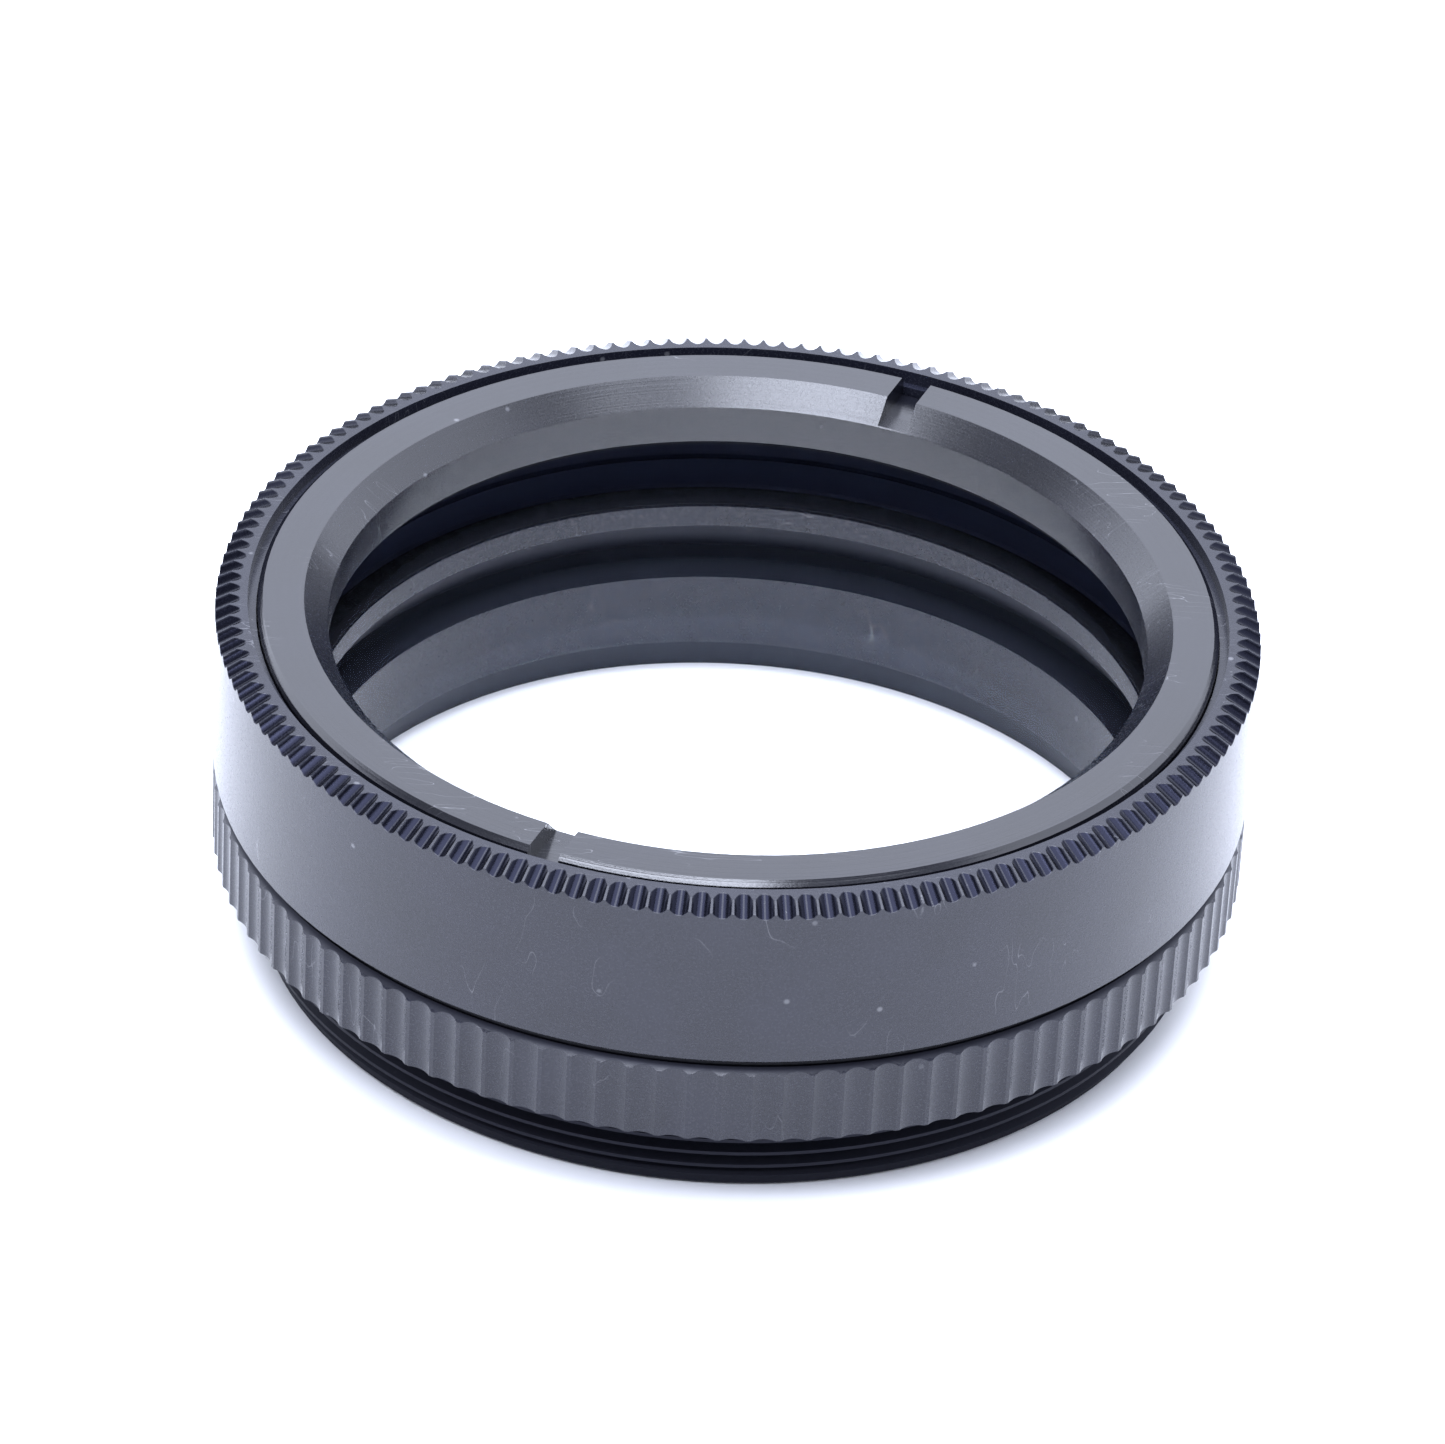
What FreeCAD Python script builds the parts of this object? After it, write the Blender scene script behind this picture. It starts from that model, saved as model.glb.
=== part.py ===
"""Screw-in Barlow lens cell: a negative doublet in a two-part threaded housing.

Row frame: origin at the centre of the face that the cell stands on, +Z up along the optical axis,
millimetres. Every sub-part is modelled in a frame of its own, with its lowest face at z = 0, and its
Placement lifts it to its height in the stack.
"""
import FreeCAD, Part
import math
import os

import Sketcher

AXIS_ROUND = 360.0

# Driving dimensions, in millimetres, degrees or counts.
SIZES = {
    # shared by the two housing parts
    "outer_radius": 26.0,
    "clear_radius": 21.2,
    "axial_gap": 0.02,
    # mount ring, lower half: male accessory thread M48 x 0.75
    "thread_radius": 24.0,
    "thread_pitch": 0.75,
    "thread_depth": 0.44,
    "thread_crest": 0.12,
    "thread_length": 4.55,
    "relief_radius": 23.4,
    "relief_length": 1.25,
    "pilot_length": 0.72,
    "lead_in": 0.23,
    "base_chamfer": 0.2,
    # mount ring, upper half: coarse fluted grip
    "flute_height": 4.2,
    "flute_chamfer": 0.35,
    "flute_count": 111,
    "flute_depth": 0.18,
    "flute_width": 1.40,
    # mount ring, inside
    "flare_radius": 22.08,
    "flare_height": 1.92,
    "ledge_height": 6.05,
    "socket_radius": 23.05,
    # seam ring
    "seam_height": 0.45,
    "seam_radius": 25.55,
    # cell body
    "cell_height": 9.05,
    "spigot_radius": 23.0,
    "spigot_length": 1.95,
    "spigot_chamfer": 0.2,
    "spigot_bore": 22.55,
    "throat_depth": 9.0,
    "seat_depth": 7.79,
    "pocket_radius": 23.2,
    "pocket_depth": 3.6,
    "bore_radius": 23.97,
    "relief_bore": 24.4,
    "relief_depth": 0.7,
    "edge_chamfer": 0.1,
    "bevel_width": 0.7,
    "bevel_drop": 0.37,
    # fine knurl: round-bottomed grooves straight down the bevel and out through both its edges
    "notch_count": 160,
    "notch_depth": 0.26,
    "notch_width": 0.94,
    "notch_length": 3.0,
    # optics
    "lens_radius": 23.0,
    "polished_radius": 21.8,
    "lens_chamfer": 0.15,
    "front_edge": 2.28,
    "rear_edge": 1.81,
    "front_sag": 0.6,
    "cement_sag": 0.5,
    "rear_sag": 1.0,
    # thin polymer rings above and below the glass
    "shim_inner": 21.3,
    "shim_outer": 23.1,
    "shim_height": 0.15,
    "slip_inner": 20.6,
    "slip_height": 0.3,
    # retaining ring
    "ring_radius": 23.9,
    "ring_height": 3.25,
    "ring_chamfer": 0.26,
    "ring_bore": 20.4,
    "ring_cone": 1.2,
    "slot_width": 1.6,
    "slot_depth": 1.15,
    "slot_angle": 68.8,
}


class Size:
    """A number together with the expression that binds it to the sheet."""

    def __init__(self, value, text):
        self.value = value
        self.text = text

    def joined(self, sign, other, value):
        right = other.text if isinstance(other, Size) else repr(other)
        return Size(value, f"({self.text} {sign} {right})")

    def __add__(self, other):
        return self.joined("+", other, self.value + number(other))

    def __sub__(self, other):
        return self.joined("-", other, self.value - number(other))

    def __mul__(self, other):
        return self.joined("*", other, self.value * number(other))

    def __truediv__(self, other):
        return self.joined("/", other, self.value / number(other))


def number(item):
    return item.value if isinstance(item, Size) else item


def make_sheet(doc):
    """Write every driving dimension to a cell of its own and give the cell its name."""
    sheet = doc.addObject("Spreadsheet::Sheet", "sizes")
    for row, (alias, value) in enumerate(SIZES.items(), start=1):
        sheet.set(f"A{row}", alias)
        sheet.set(f"B{row}", str(value))
        sheet.setAlias(f"B{row}", alias)
    doc.recompute()
    return sheet


def size(alias):
    return Size(float(SIZES[alias]), f"sizes.{alias}")


def bind(item, prop, wanted):
    """Set a property to a Size and tie it to the sheet."""
    item.setExpression(prop, wanted.text)


def new_body(doc, name, height=None):
    """An empty body, lifted to its height in the stack."""
    body = doc.addObject("PartDesign::Body", name)
    body.Label = name
    if height is not None:
        body.Placement = FreeCAD.Placement(FreeCAD.Vector(0, 0, height.value), FreeCAD.Rotation())
        bind(body, "Placement.Base.z", height)
    return body


def new_sketch(body, name, role):
    """A sketch on one of the body's own origin planes."""
    sketch = body.newObject("Sketcher::SketchObject", name)
    plane = [item for item in body.Origin.OriginFeatures if item.Role == role][0]
    sketch.AttachmentSupport = [(plane, "")]
    sketch.MapMode = "FlatFace"
    return sketch


def lift_sketch(sketch, height):
    """Raise a sketch on the XY plane to a height in its body's frame."""
    sketch.AttachmentOffset = FreeCAD.Placement(FreeCAD.Vector(0, 0, height.value), FreeCAD.Rotation())
    bind(sketch, "AttachmentOffset.Base.z", height)


def pin_point(sketch, edge, end, across, up):
    """Dimension one end of an edge from the sketch's origin, in both directions."""
    for kind, wanted, axis in (("DistanceX", across, -2), ("DistanceY", up, -1)):
        if number(wanted) == 0.0:
            sketch.addConstraint(Sketcher.Constraint("PointOnObject", edge, end, axis))
            continue
        index = sketch.addConstraint(
            Sketcher.Constraint(kind, -1, 1, edge, end, number(wanted)))
        if isinstance(wanted, Size):
            bind(sketch, f"Constraints[{index}]", wanted)


def draw_outline(sketch, points, rounds=()):
    """Draw a closed outline through the points.

    rounds names the edges that are arcs centred on the vertical axis, as in a lens surface. An arc's
    two ends are a point on the axis and a point at the rim, in either order.
    """
    count = len(points)
    spots = [FreeCAD.Vector(number(across), number(up), 0) for across, up in points]
    for edge in range(count):
        start, end = spots[edge], spots[(edge + 1) % count]
        if edge in rounds:
            sketch.addGeometry(axis_arc(start, end), False)
            sketch.addConstraint(Sketcher.Constraint("PointOnObject", edge, 3, -2))
        else:
            sketch.addGeometry(Part.LineSegment(start, end), False)
    first_end = {edge: outline_ends(sketch, edge, spots[edge]) for edge in range(count)}
    for edge in range(count):
        after = (edge + 1) % count
        sketch.addConstraint(Sketcher.Constraint(
            "Coincident", edge, first_end[edge][1], after, first_end[after][0]))
    for edge, (across, up) in enumerate(points):
        pin_point(sketch, edge, first_end[edge][0], across, up)


def outline_ends(sketch, edge, start):
    """Which end numbers of an edge are its first and last point along the outline."""
    shape = sketch.Geometry[edge]
    near = shape.StartPoint.distanceToPoint(start) < shape.EndPoint.distanceToPoint(start)
    return (1, 2) if near else (2, 1)


def axis_arc(start, end):
    """The arc from a point on the vertical axis to a rim point, centred on that axis."""
    pole, rim = (start, end) if start.x == 0.0 else (end, start)
    rise = rim.y - pole.y
    radius = (rim.x ** 2 + rise ** 2) / (2.0 * abs(rise))
    centre = FreeCAD.Vector(0, pole.y + (radius if rise > 0 else -radius), 0)
    circle = Part.Circle(centre, FreeCAD.Vector(0, 0, 1), radius)
    turns = sorted(circle.parameter(point) for point in (pole, rim))
    return Part.ArcOfCircle(circle, turns[0], turns[1])


def turn(body, points, rounds=(), name="turned"):
    """Turn an outline of (radius, height) points about the optical axis."""
    sketch = new_sketch(body, f"{body.Name}_{name}_outline", "XZ_Plane")
    draw_outline(sketch, points, rounds)
    feature = body.newObject("PartDesign::Revolution", f"{body.Name}_{name}")
    feature.Profile = sketch
    feature.ReferenceAxis = (sketch, ["V_Axis"])
    feature.Angle = AXIS_ROUND
    return feature


def repeat_round(body, feature, alias):
    """Repeat a cut evenly round the optical axis, as many times as the sheet says."""
    pattern = body.newObject("PartDesign::PolarPattern", f"{feature.Name}_round")
    pattern.Originals = [feature]
    axis = [item for item in body.Origin.OriginFeatures if item.Role == "Z_Axis"][0]
    pattern.Axis = (axis, [""])
    pattern.Angle = AXIS_ROUND
    pattern.Occurrences = int(SIZES[alias])
    bind(pattern, "Occurrences", size(alias))
    body.Tip = pattern
    return pattern


def washer(doc, name, height, inner, outer, thickness):
    """A flat ring of rectangular section."""
    body = new_body(doc, name, height)
    low = 0.0
    turn(body, [(inner, low), (outer, low), (outer, thickness), (inner, thickness)])
    return body


def stack():
    """Heights of the stack's faces above the base."""
    shoulder = size("thread_length")
    grip_top = shoulder + size("flute_height")
    cell_face = grip_top + size("seam_height")
    top = cell_face + size("cell_height")
    seat = top - size("seat_depth")
    glass = seat + size("shim_height")
    cement = glass + size("rear_edge")
    glass_top = cement + size("front_edge")
    ring = glass_top + size("slip_height")
    return {
        "grip_top": grip_top,
        "cell_face": cell_face,
        "cell": cell_face - size("spigot_length"),
        "seat": seat,
        "glass": glass,
        "cement": cement,
        "glass_top": glass_top,
        "ring": ring,
    }


def mount_ring(doc):
    """Lower ring: male thread below, fluted grip above, socket for the cell inside."""
    body = new_body(doc, "mount_ring")
    outer = size("outer_radius")
    root = size("thread_radius") - size("thread_depth")
    shoulder = size("thread_length")
    grip_top = shoulder + size("flute_height")
    band_low = size("pilot_length") + size("lead_in")
    band_high = shoulder - size("relief_length")
    turn(body, [
        (size("flare_radius"), 0.0),
        (root - size("base_chamfer"), 0.0),
        (root, size("base_chamfer")),
        (root, size("pilot_length")),
        (size("thread_radius"), band_low),
        (size("thread_radius"), band_high),
        (size("relief_radius"), band_high),
        (size("relief_radius"), shoulder),
        (outer, shoulder),
        (outer, grip_top - size("flute_chamfer")),
        (outer - size("flute_chamfer"), grip_top),
        (size("socket_radius"), grip_top),
        (size("socket_radius"), size("ledge_height")),
        (size("clear_radius"), size("ledge_height")),
        (size("clear_radius"), size("flare_height")),
    ])
    flute(body, shoulder, grip_top)
    thread(body, root, band_low, band_high)
    return body


def draw_groove(sketch, surface, width, depth):
    """Draw a groove's round section, cut into a surface that stands at x = surface.

    The chord that closes the section stands just clear of the surface, so no skin is left there.
    """
    margin = 0.04
    half = width / 2
    reach = depth + margin
    rim = surface + margin
    radius = (half * half + reach * reach) / (reach * 2)
    centre = FreeCAD.Vector(rim.value - reach.value + radius.value, 0, 0)
    spread = math.asin(half.value / radius.value)
    circle = Part.Circle(centre, FreeCAD.Vector(0, 0, 1), radius.value)
    sketch.addGeometry(Part.ArcOfCircle(circle, math.pi - spread, math.pi + spread), False)
    upper = FreeCAD.Vector(rim.value, half.value, 0)
    lower = FreeCAD.Vector(rim.value, -half.value, 0)
    sketch.addGeometry(Part.LineSegment(lower, upper), False)
    sketch.addConstraint(Sketcher.Constraint("Coincident", 0, 1, 1, 2))
    sketch.addConstraint(Sketcher.Constraint("Coincident", 0, 2, 1, 1))
    sketch.addConstraint(Sketcher.Constraint("Symmetric", 1, 1, 1, 2, -1))
    pin_point(sketch, 1, 2, rim, half)
    bow = sketch.addConstraint(Sketcher.Constraint("Radius", 0, radius.value))
    bind(sketch, f"Constraints[{bow}]", radius)


def flute(body, low, high):
    """Cut one shallow round flute the whole height of the grip, then the rest round the axis."""
    sketch = new_sketch(body, "flute_outline", "XY_Plane")
    lift_sketch(sketch, high)
    draw_groove(sketch, size("outer_radius"), size("flute_width"), size("flute_depth"))
    pocket = body.newObject("PartDesign::Pocket", "flute")
    pocket.Profile = sketch
    pocket.Type = 0
    bind(pocket, "Length", high - low)
    repeat_round(body, pocket, "flute_count")


def thread(body, root, band_low, band_high):
    """Cut a helical V groove into the thread band, from below its lead-in to its relief."""
    outside = 0.05
    pitch = size("thread_pitch")
    rim = size("thread_radius") + outside
    half = (pitch - size("thread_crest")) / 2
    start = band_low - pitch / 2
    sketch = new_sketch(body, "thread_outline", "XZ_Plane")
    draw_outline(sketch, [(root, start), (rim, start - half), (rim, start + half)])
    groove = body.newObject("PartDesign::SubtractiveHelix", "thread")
    groove.Profile = sketch
    groove.ReferenceAxis = (sketch, ["V_Axis"])
    groove.Mode = 0
    bind(groove, "Pitch", pitch)
    bind(groove, "Height", band_high - band_low + pitch)
    body.Tip = groove


def cell_body(doc, levels):
    """Upper ring: knurled rim, lens pocket with its seat, and the spigot that screws into the mount."""
    body = new_body(doc, "cell_body", levels["cell"])
    outer = size("outer_radius")
    face = size("spigot_length")
    top = face + size("cell_height")
    seat = top - size("seat_depth")
    bevel_foot = top - size("bevel_drop")
    turn(body, [
        (size("spigot_bore"), 0.0),
        (size("spigot_radius") - size("spigot_chamfer"), 0.0),
        (size("spigot_radius"), size("spigot_chamfer")),
        (size("spigot_radius"), face),
        (outer - size("edge_chamfer"), face),
        (outer, face + size("edge_chamfer")),
        (outer, bevel_foot),
        (outer - size("bevel_width"), top),
        (size("relief_bore"), top),
        (size("relief_bore"), top - size("relief_depth")),
        (size("bore_radius"), top - size("relief_depth")),
        (size("bore_radius"), top - size("pocket_depth")),
        (size("pocket_radius"), top - size("pocket_depth")),
        (size("pocket_radius"), seat),
        (size("clear_radius"), seat),
        (size("clear_radius"), top - size("throat_depth")),
    ])
    notch(body, top)
    return body


def notch(body, top):
    """Cut one round groove down the bevel, then the rest round the axis.

    The groove's sketch stands across the bevel at its middle: its own x points square out of the
    bevel, its y runs along the rim and its normal points up the slope.
    """
    slope = size("bevel_drop") / size("bevel_width")
    tilt = Size(90 - math.degrees(math.atan(slope.value)), f"90 deg - atan({slope.text})")
    middle = size("outer_radius") - size("bevel_width") / 2
    level = top - size("bevel_drop") / 2
    sketch = new_sketch(body, "notch_outline", "XY_Plane")
    sketch.AttachmentOffset = FreeCAD.Placement(
        FreeCAD.Vector(middle.value, 0, level.value),
        FreeCAD.Rotation(FreeCAD.Vector(0, -1, 0), tilt.value))
    bind(sketch, "AttachmentOffset.Base.x", middle)
    bind(sketch, "AttachmentOffset.Base.z", level)
    bind(sketch, "AttachmentOffset.Rotation.Angle", tilt)
    draw_groove(sketch, Size(0.0, "0"), size("notch_width"), size("notch_depth"))
    pocket = body.newObject("PartDesign::Pocket", "notch")
    pocket.Profile = sketch
    pocket.Type = 0
    pocket.Midplane = True
    bind(pocket, "Length", size("notch_length"))
    repeat_round(body, pocket, "notch_count")


def rear_element(doc, levels):
    """Meniscus of the doublet: convex cemented face above, concave face below."""
    body = new_body(doc, "rear_element", levels["glass"])
    rim = size("lens_radius")
    bevel = size("lens_chamfer")
    edge = size("rear_edge")
    turn(body, [
        (0.0, size("rear_sag")),
        (size("polished_radius"), 0.0),
        (rim - bevel, 0.0),
        (rim, bevel),
        (rim, edge - bevel),
        (rim - bevel, edge),
        (0.0, edge + size("cement_sag")),
    ], rounds=(0, 5))
    return body


def front_element(doc, levels):
    """Biconcave element of the doublet: cemented face below, outer face above."""
    body = new_body(doc, "front_element", levels["cement"])
    rim = size("lens_radius")
    bevel = size("lens_chamfer")
    edge = size("front_edge")
    turn(body, [
        (0.0, size("cement_sag")),
        (rim - bevel, 0.0),
        (rim, bevel),
        (rim, edge - bevel),
        (rim - bevel, edge),
        (size("polished_radius"), edge),
        (0.0, edge - size("front_sag")),
    ], rounds=(0, 5))
    return body


def retaining_ring(doc, levels):
    """Threaded ring with an inner cone and two opposite spanner slots across its top face."""
    body = new_body(doc, "retaining_ring", levels["ring"])
    body.Placement.Rotation = FreeCAD.Rotation(FreeCAD.Vector(0, 0, 1), SIZES["slot_angle"])
    outer = size("ring_radius")
    top = size("ring_height")
    bore = size("ring_bore")
    turn(body, [
        (bore, 0.0),
        (outer, 0.0),
        (outer, top - size("ring_chamfer")),
        (outer - size("ring_chamfer"), top),
        (bore + size("ring_cone"), top),
        (bore, top - size("ring_cone")),
    ])
    sketch = new_sketch(body, "slot_outline", "XY_Plane")
    lift_sketch(sketch, top)
    length = outer + 1.0
    half = size("slot_width") / 2
    draw_outline(sketch, [
        (length * -1, half * -1),
        (length, half * -1),
        (length, half),
        (length * -1, half),
    ])
    pocket = body.newObject("PartDesign::Pocket", "slot")
    pocket.Profile = sketch
    pocket.Type = 0
    bind(pocket, "Length", size("slot_depth"))
    return body


def build(doc):
    """Make every sub-part and return them."""
    levels = stack()
    gap = size("axial_gap")
    return [
        mount_ring(doc),
        washer(doc, "seam_ring", levels["grip_top"] + gap, size("socket_radius"),
               size("seam_radius"), size("seam_height") - gap * 2),
        cell_body(doc, levels),
        washer(doc, "seat_shim", levels["seat"], size("shim_inner"), size("shim_outer"),
               size("shim_height")),
        rear_element(doc, levels),
        front_element(doc, levels),
        washer(doc, "slip_ring", levels["glass_top"] + gap, size("slip_inner"),
               size("shim_outer"), size("slip_height") - gap * 2),
        retaining_ring(doc, levels),
    ]


def check(doc, bodies):
    """Stop on any failed feature or any sub-part that isn't one valid solid."""
    for item in doc.Objects:
        bad = [word for word in item.State if word in ("Invalid", "Error")]
        if bad:
            raise RuntimeError(f"{item.Name} is {bad}")
    for body in bodies:
        shape = body.Shape
        if shape.isNull() or not shape.isValid() or len(shape.Solids) != 1:
            raise RuntimeError(f"{body.Label} isn't one valid solid")


def main():
    doc = FreeCAD.newDocument("barlow_cell")
    make_sheet(doc)
    bodies = build(doc)
    doc.recompute()
    check(doc, bodies)
    os.makedirs("parts", exist_ok=True)
    for body in bodies:
        body.Shape.exportStep(f"parts/{body.Label}.step")
        print(body.Label, "volume", round(body.Shape.Volume, 2), "mm3")


main()
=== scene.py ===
"""Looks for the Barlow lens cell: camera, studio, materials and the glass."""
import math

import bpy
from mathutils import Euler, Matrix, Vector


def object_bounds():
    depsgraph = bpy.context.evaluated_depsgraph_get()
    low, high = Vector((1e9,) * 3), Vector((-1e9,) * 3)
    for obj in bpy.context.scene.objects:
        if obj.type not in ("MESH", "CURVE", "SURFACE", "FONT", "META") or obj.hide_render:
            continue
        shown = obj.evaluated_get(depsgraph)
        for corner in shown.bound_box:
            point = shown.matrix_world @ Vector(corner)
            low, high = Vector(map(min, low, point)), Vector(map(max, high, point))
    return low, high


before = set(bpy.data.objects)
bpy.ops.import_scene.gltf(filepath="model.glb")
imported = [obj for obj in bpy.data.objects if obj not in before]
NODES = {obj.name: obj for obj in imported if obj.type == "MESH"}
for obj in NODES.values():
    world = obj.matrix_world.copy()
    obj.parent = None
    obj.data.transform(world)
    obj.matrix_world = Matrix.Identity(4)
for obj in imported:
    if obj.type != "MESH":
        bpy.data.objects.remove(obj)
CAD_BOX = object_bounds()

MM = 0.001
LOW, HIGH = CAD_BOX
TOP = HIGH.z

# Camera: a long lens from close by, in degrees, metres and millimetres.
CAMERA_ELEVATION = 33.26
CAMERA_DISTANCE = 0.3975
CAMERA_ROLL = 3.18
CAMERA_AIM_DOWN = 0.840
CAMERA_AIM_LEFT = 0.120
CAMERA_LENS = 199.3
SENSOR = 36.0

# Sizes the finishes follow, in millimetres: radii, and heights above the table.
SHOULDER = 4.55
GRIP_TOP = 8.75
FLARE_TOP = 1.92
LEDGE = 6.05
SPIGOT_END = 9.25
SEAT = 10.46
OUTER = 26.0
BEVEL_TOP_RADIUS = 25.3
BEVEL_SLOPE = math.atan(0.37 / 0.7)
CLEAR_RADIUS = 21.2
CONE_RADIUS = 21.6
GROOVE_COUNT = 160
LENS_POLISHED = 21.8


# ---------------------------------------------------------------- node helpers

class Graph:
    """A material's node tree, built one call at a time."""

    def __init__(self, name):
        self.material = bpy.data.materials.new(name)
        self.material.use_nodes = True
        self.tree = self.material.node_tree
        self.tree.nodes.clear()
        self.output = self.tree.nodes.new("ShaderNodeOutputMaterial")
        self.place = self.tree.nodes.new("ShaderNodeTexCoord").outputs["Object"]

    def add(self, kind, inputs=(), **settings):
        """Add a node, set its properties, then set or link its inputs."""
        node = self.tree.nodes.new(kind)
        for key, value in settings.items():
            setattr(node, key, value)
        for key, value in dict(inputs).items():
            self.feed(node.inputs[key], value)
        return node

    def feed(self, socket, value):
        if isinstance(value, bpy.types.NodeSocket):
            self.tree.links.new(value, socket)
        else:
            socket.default_value = value

    def math(self, operation, first, second=0.0):
        return self.add("ShaderNodeMath", {0: first, 1: second}, operation=operation).outputs[0]

    def product(self, *factors):
        result = factors[0]
        for factor in factors[1:]:
            result = self.math("MULTIPLY", result, factor)
        return result

    def noise(self, scale, detail=2.0, roughness=0.5, vector=None):
        vector = self.place if vector is None else vector
        node = self.add("ShaderNodeTexNoise", {
            "Vector": vector, "Scale": scale, "Detail": detail, "Roughness": roughness})
        return node.outputs["Fac"]

    def ramp(self, value, start, end):
        """0 at start, 1 at end and straight between, whichever of the two is larger."""
        return self.add("ShaderNodeMapRange", {
            "Value": value, "From Min": start, "From Max": end}).outputs[0]

    def between(self, value, low, high):
        """Remap a 0 to 1 value to low to high."""
        return self.add("ShaderNodeMapRange", {
            "Value": value, "To Min": low, "To Max": high}).outputs[0]

    def mix(self, factor, first, second):
        node = self.add("ShaderNodeMix", data_type="RGBA")
        self.feed(node.inputs[0], factor)
        self.feed(node.inputs[6], first)
        self.feed(node.inputs[7], second)
        return node.outputs[2]

    def polar(self):
        """Radius and height in millimetres, and the angle round the axis in turns."""
        parts = self.add("ShaderNodeSeparateXYZ", {0: self.place})
        across, deep, up = parts.outputs
        squares = self.math("ADD", self.math("POWER", across, 2.0), self.math("POWER", deep, 2.0))
        radius = self.math("DIVIDE", self.math("SQRT", squares), MM)
        turns = self.math("DIVIDE", self.math("ARCTAN2", deep, across), 2 * math.pi)
        return radius, self.math("DIVIDE", up, MM), turns

    def lathe_lines(self, radius, height, scale):
        """Noise that changes with radius and height only, as tool marks do."""
        spot = self.add("ShaderNodeCombineXYZ", {0: radius, 1: height})
        return self.noise(scale, 3.0, 0.6, spot.outputs[0])

    def specks(self, scale, share):
        """Small separate spots of dust: 1 on a spot, 0 elsewhere."""
        cells = self.add("ShaderNodeTexVoronoi", {"Vector": self.place, "Scale": scale})
        near = self.ramp(cells.outputs["Distance"], 0.16, 0.08)
        picked = self.add("ShaderNodeSeparateColor", {0: cells.outputs["Color"]})
        return self.product(near, self.ramp(picked.outputs[0], 1.0 - share, 1.0 - share * 0.8))

    def scratches(self, scale):
        """Hair-thin marks: the thin lines where a stretched noise crosses its middle."""
        turned = self.add("ShaderNodeMapping", {
            "Vector": self.place, "Rotation": (0.5, 0.3, 0.8), "Scale": (1.0, 6.0, 1.0)})
        field = self.noise(scale, 1.0, 0.4, turned.outputs[0])
        thin = self.ramp(self.math("ABSOLUTE", self.math("SUBTRACT", field, 0.5)), 0.006, 0.0)
        return self.product(thin, self.ramp(self.noise(scale * 0.6, 0.0), 0.60, 0.66))

    def bump(self, height, strength, distance):
        return self.add("ShaderNodeBump", {
            "Height": height, "Strength": strength, "Distance": distance * MM}).outputs[0]

    def surface(self, shader):
        self.tree.links.new(shader, self.output.inputs["Surface"])
        return self.material


def grey(level, blue=0.0):
    """A neutral colour, or one with a blue cast."""
    return (level * (1.0 - blue * 0.5), level * (1.0 - blue * 0.35), level * (1.0 + blue), 1.0)


# ---------------------------------------------------------------- materials

BODY_DARK = grey(0.009, 0.45)
BODY_LIGHT = grey(0.013, 0.45)
# Near-black used for painted shade in the thread, knurl valleys, spigot, bore mouth and seam, and for
# the real blacking of the ledge, socket and lens pocket; its slight lift and blue cast are painted haze.
PAINTED_SHADE_AND_BLACKING = (0.0064, 0.0070, 0.0138, 1.0)
DUST = grey(0.16, 0.05)
BLOOM = 0.05


def blasted(g):
    """Bead-blasted black anodising: its colour, its roughness and the height of its grain."""
    grain = g.noise(7000.0, 3.0, 0.6)
    cloud = g.noise(260.0, 3.0)
    colour = g.mix(g.ramp(cloud, 0.3, 0.7), BODY_DARK, BODY_LIGHT)
    colour = g.mix(g.between(g.ramp(grain, 0.35, 0.7), 0.0, 0.35), colour, grey(0.034, 0.25))
    colour = g.mix(g.between(g.scratches(330.0), 0.0, 0.5), colour, DUST)
    colour = g.mix(g.between(g.specks(900.0, 0.05), 0.0, 0.6), colour, DUST)
    rough = g.between(g.ramp(grain, 0.2, 0.8), 0.20, 0.32)
    return colour, rough, grain


def finish(g, colour, rough, grain, black=0.0, level=0.38, bloom=0.0):
    """The metal's shader. Where black is 1, the surface is fully metallic, which with the near-black
    colour given there takes away its reflection as painted shade.

    bloom is how much the blasted grain pales at a glancing angle.
    """
    shader = g.add("ShaderNodeBsdfPrincipled", {
        "Base Color": colour, "Metallic": black, "Specular IOR Level": level,
        "Roughness": rough,
        "Sheen Weight": bloom, "Sheen Roughness": 0.25,
        "Normal": g.bump(grain, 0.30, 0.02)})
    return g.surface(shader.outputs[0])


def mount_metal():
    """Mount ring: grey grip and bore, a blackened ledge and socket, and painted shade on the thread, at
    the bore's mouth and at the seam above the grip.
    """
    g = Graph("mount_metal")
    radius, height, _ = g.polar()
    colour, rough, grain = blasted(g)
    under = g.ramp(height, SHOULDER + 0.02, SHOULDER - 0.03)
    outside = g.ramp(radius, CLEAR_RADIUS + 1.0, CLEAR_RADIUS + 1.2)
    inside = g.ramp(radius, CLEAR_RADIUS + 2.2, CLEAR_RADIUS + 2.1)
    socket = g.ramp(height, LEDGE - 0.06, LEDGE)
    # Painted shade: the bottom of the bore, next to the table, is made near-black.
    mouth_shade = g.product(inside, g.ramp(height, FLARE_TOP + 0.05, FLARE_TOP - 0.05), 0.9)
    # Painted shade: the thread below the shoulder is made near-black and metallic, so it reflects almost
    # nothing.
    thread = g.product(under, outside, 0.9)
    # Painted shade at the seam between the grip and the cell body: the ring's outside from just below
    # the grip's top upward is made near-black.
    seam_shade = g.product(g.ramp(height, GRIP_TOP - 0.28, GRIP_TOP - 0.08), outside, 0.9)
    # black joins the painted shade of the thread, mouth and seam with the real blacking of the ledge and
    # socket.
    black = g.math("MAXIMUM", g.math("MAXIMUM", thread, g.product(inside, socket)), mouth_shade)
    black = g.math("MAXIMUM", black, seam_shade)
    rough = g.math("ADD", rough, g.math("MULTIPLY", black, 0.35))
    colour = g.mix(black, colour, PAINTED_SHADE_AND_BLACKING)
    return finish(g, colour, rough, grain, g.between(black, 0.0, 0.7), bloom=BLOOM)


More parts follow.
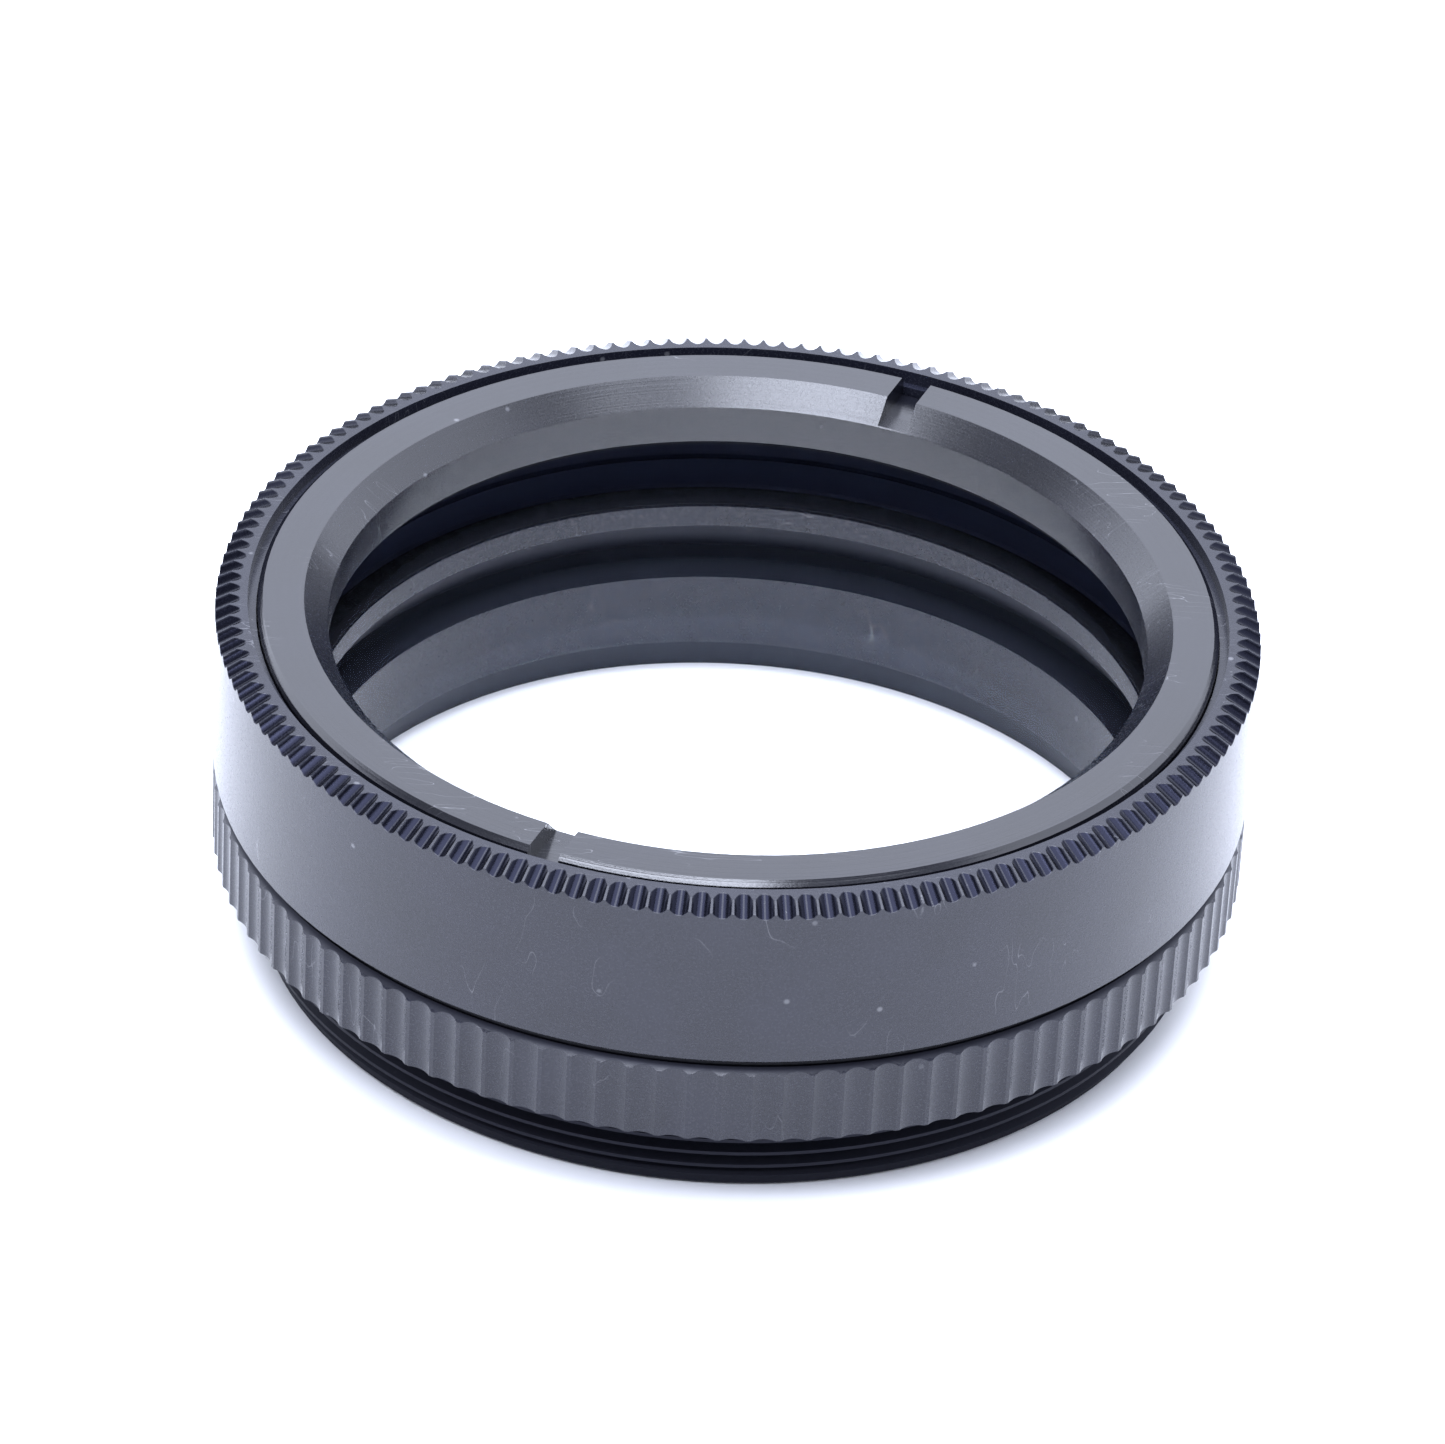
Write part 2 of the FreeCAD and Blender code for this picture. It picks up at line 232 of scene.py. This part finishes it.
def cell_metal():
    """Cell body: grey outside and throat, painted shade in the knurl valleys with a painted highlight
    line along each root, painted shade fading downward on the spigot, and a blackened lens pocket.
    """
    g = Graph("cell_metal")
    top = TOP / MM
    radius, height, turns = g.polar()
    colour, rough, grain = blasted(g)
    # Painted shade in the knurl grooves: below the bevel's cone the grooves are made near-black and
    # metallic, so they reflect almost nothing.
    out = g.math("MULTIPLY", g.math("SUBTRACT", radius, BEVEL_TOP_RADIUS), math.sin(BEVEL_SLOPE))
    up = g.math("MULTIPLY", g.math("SUBTRACT", height, top), math.cos(BEVEL_SLOPE))
    below = g.math("ADD", out, up)
    valley_shade = g.product(
        g.ramp(below, -0.02, -0.08),
        g.ramp(height, top - 0.01, top - 0.035),
        g.ramp(radius, OUTER - 0.015, OUTER - 0.045),
        g.ramp(radius, 24.62, 24.70))
    # Painted highlight: along each groove's root the shade is cut to 0.45, which leaves a lighter line.
    phase = g.math("MULTIPLY", turns, GROOVE_COUNT)
    from_root = g.math("ABSOLUTE", g.math("SUBTRACT", phase, g.math("ROUND", phase)))
    shade_less_at_root = g.between(g.ramp(from_root, 0.030, 0.055), 0.45, 1.0)
    # Painted shade: the spigot darkens downward into the recess inside the mount ring, down to
    # near-black.
    spigot = g.product(g.ramp(height, SPIGOT_END - 0.7, SPIGOT_END - 1.8), g.ramp(radius, 23.3, 23.2))
    pocket = g.product(
        g.ramp(height, SEAT - 0.02, SEAT + 0.02),
        g.ramp(height, 17.2, 16.8),
        g.ramp(radius, 24.1, 24.0))
    # recess joins the spigot's painted shade with the real blacking of the lens pocket.
    recess = g.math("MAXIMUM", spigot, pocket)
    black = g.math("MAXIMUM", recess, g.product(valley_shade, shade_less_at_root))
    flare = g.product(g.ramp(height, SPIGOT_END + 0.02, SPIGOT_END - 0.1), g.ramp(radius, 23.3, 23.2))
    rough = g.math("ADD", rough, g.math("MULTIPLY", flare, 0.35))
    colour = g.mix(black, colour, PAINTED_SHADE_AND_BLACKING)
    return finish(g, colour, rough, grain, g.between(black, 0.0, 0.85), bloom=BLOOM)


def ring_metal():
    """Retaining ring: turned, smoother than the housing, with faint tool marks round it."""
    g = Graph("ring_metal")
    radius, height, _ = g.polar()
    lines = g.lathe_lines(radius, height, 9.0)
    grain = g.noise(7000.0, 3.0, 0.6)
    cloud = g.noise(200.0, 3.0)
    colour = g.mix(g.ramp(cloud, 0.3, 0.7), grey(0.004, 0.40), grey(0.007, 0.40))
    colour = g.mix(g.between(g.ramp(lines, 0.4, 0.65), 0.0, 0.25), colour, grey(0.014, 0.25))
    colour = g.mix(g.between(g.scratches(300.0), 0.0, 0.6), colour, DUST)
    colour = g.mix(g.between(g.specks(800.0, 0.05), 0.0, 0.6), colour, DUST)
    cone = g.product(g.ramp(radius, CONE_RADIUS + 0.06, CONE_RADIUS - 0.02), g.ramp(height, 17.0, 17.1))
    rough = g.math("ADD", g.between(g.ramp(grain, 0.2, 0.8), 0.15, 0.22), g.between(cone, 0.0, 0.08))
    marks = g.math("ADD", lines, g.math("MULTIPLY", grain, 0.5))
    return finish(g, colour, rough, marks, level=0.70)


def polymer():
    g = Graph("black_polymer")
    grain = g.noise(5000.0)
    colour = g.mix(g.specks(700.0, 0.08), grey(0.003, 0.5), grey(0.03))
    shader = g.add("ShaderNodeBsdfPrincipled", {
        "Base Color": colour, "Roughness": g.between(grain, 0.55, 0.75), "Specular IOR Level": 0.15,
        "Normal": g.bump(grain, 0.3, 0.02)})
    return g.surface(shader.outputs[0])


def glass():
    """Coated glass: clear with a faint blue reflection, dusty, and blackened round its edge."""
    g = Graph("coated_glass")
    radius, _, _ = g.polar()
    fresnel = g.add("ShaderNodeFresnel", {"IOR": 1.05})
    clear = g.add("ShaderNodeBsdfTransparent", {"Color": (1.0, 1.0, 1.0, 1.0)})
    smear = g.between(g.noise(160.0, 3.0), 0.01, 0.05)
    gloss = g.add("ShaderNodeBsdfGlossy", {"Color": (0.62, 0.78, 1.0, 1.0), "Roughness": smear})
    mixed = g.add("ShaderNodeMixShader", {
        0: fresnel.outputs[0], 1: clear.outputs[0], 2: gloss.outputs[0]})
    ink = g.add("ShaderNodeBsdfPrincipled", {
        "Base Color": grey(0.009, 0.5), "Roughness": 0.8, "Specular IOR Level": 0.05})
    edge = g.ramp(radius, LENS_POLISHED + 0.95, LENS_POLISHED + 1.0)
    inked = g.add("ShaderNodeMixShader", {0: edge, 1: mixed.outputs[0], 2: ink.outputs[0]})
    return g.surface(inked.outputs[0])


# ---------------------------------------------------------------- studio

LIGHT_COLOUR = (0.80, 0.85, 1.0)


def camera():
    data = bpy.data.cameras.new("camera")
    data.lens = CAMERA_LENS
    data.sensor_width = SENSOR
    data.clip_start = 0.01
    data.clip_end = 20.0
    item = bpy.data.objects.new("camera", data)
    bpy.context.scene.collection.objects.link(item)
    rise = math.radians(CAMERA_ELEVATION)
    back = Vector((0.0, -math.cos(rise), math.sin(rise)))
    item.location = Vector((0.0, 0.0, TOP)) + back * CAMERA_DISTANCE
    facing = (-back).to_track_quat("-Z", "Y")
    roll = Euler((0.0, 0.0, math.radians(CAMERA_ROLL))).to_quaternion()
    left = Euler((0.0, math.radians(CAMERA_AIM_LEFT), 0.0)).to_quaternion()
    down = Euler((-math.radians(CAMERA_AIM_DOWN), 0.0, 0.0)).to_quaternion()
    item.rotation_mode = "QUATERNION"
    item.rotation_quaternion = facing @ roll @ left @ down
    bpy.context.scene.camera = item


def floor():
    mesh = bpy.data.meshes.new("floor")
    half = 3.0
    corners = [(-half, -half, 0), (half, -half, 0), (half, half, 0), (-half, half, 0)]
    mesh.from_pydata(corners, [], [(0, 1, 2, 3)])
    item = bpy.data.objects.new("floor", mesh)
    bpy.context.scene.collection.objects.link(item)
    g = Graph("floor_white")
    shader = g.add("ShaderNodeBsdfPrincipled", {"Base Color": (0.92, 0.92, 0.92, 1.0), "Roughness": 0.8})
    mesh.materials.append(g.surface(shader.outputs[0]))


def softbox(name, place, size, brightness):
    """A rectangular light that faces the object; brightness is the radiance of its face."""
    data = bpy.data.lights.new(name, "AREA")
    data.shape = "RECTANGLE"
    data.size, data.size_y = size
    data.energy = brightness * math.pi * size[0] * size[1]
    data.color = LIGHT_COLOUR
    item = bpy.data.objects.new(name, data)
    bpy.context.scene.collection.objects.link(item)
    item.location = place
    aim = Vector((0.0, 0.0, TOP / 2)) - Vector(place)
    item.rotation_mode = "QUATERNION"
    item.rotation_quaternion = aim.to_track_quat("-Z", "Y")


def studio():
    world = bpy.data.worlds.new("studio")
    bpy.context.scene.world = world
    world.use_nodes = True
    sky = world.node_tree.nodes["Background"].inputs
    sky["Color"].default_value = (*LIGHT_COLOUR, 1.0)
    sky["Strength"].default_value = 0.42
    softbox("softbox_back", (0.0, 0.55, 0.38), (0.9, 0.30), 2.7)
    softbox("softbox_left", (-0.62, 0.14, 0.20), (1.0, 0.36), 3.2)
    softbox("softbox_right", (0.58, 0.12, 0.32), (1.0, 0.55), 2.3)
    softbox("softbox_top", (0.0, 0.05, 0.60), (0.70, 0.70), 7.8)
    softbox("strip_front", (-0.10, -0.30, 0.50), (0.38, 0.12), 17.0)
    bpy.context.scene.view_settings.view_transform = "Standard"


def dress(name, material):
    mesh = NODES[name].data
    mesh.materials.clear()
    mesh.materials.append(material)


camera()
floor()
studio()
dress("mount_ring", mount_metal())
dress("cell_body", cell_metal())
dress("retaining_ring", ring_metal())
black = polymer()
for node in ("seam_ring", "seat_shim", "slip_ring"):
    dress(node, black)
clear_glass = glass()
for node in ("front_element", "rear_element"):
    dress(node, clear_glass)
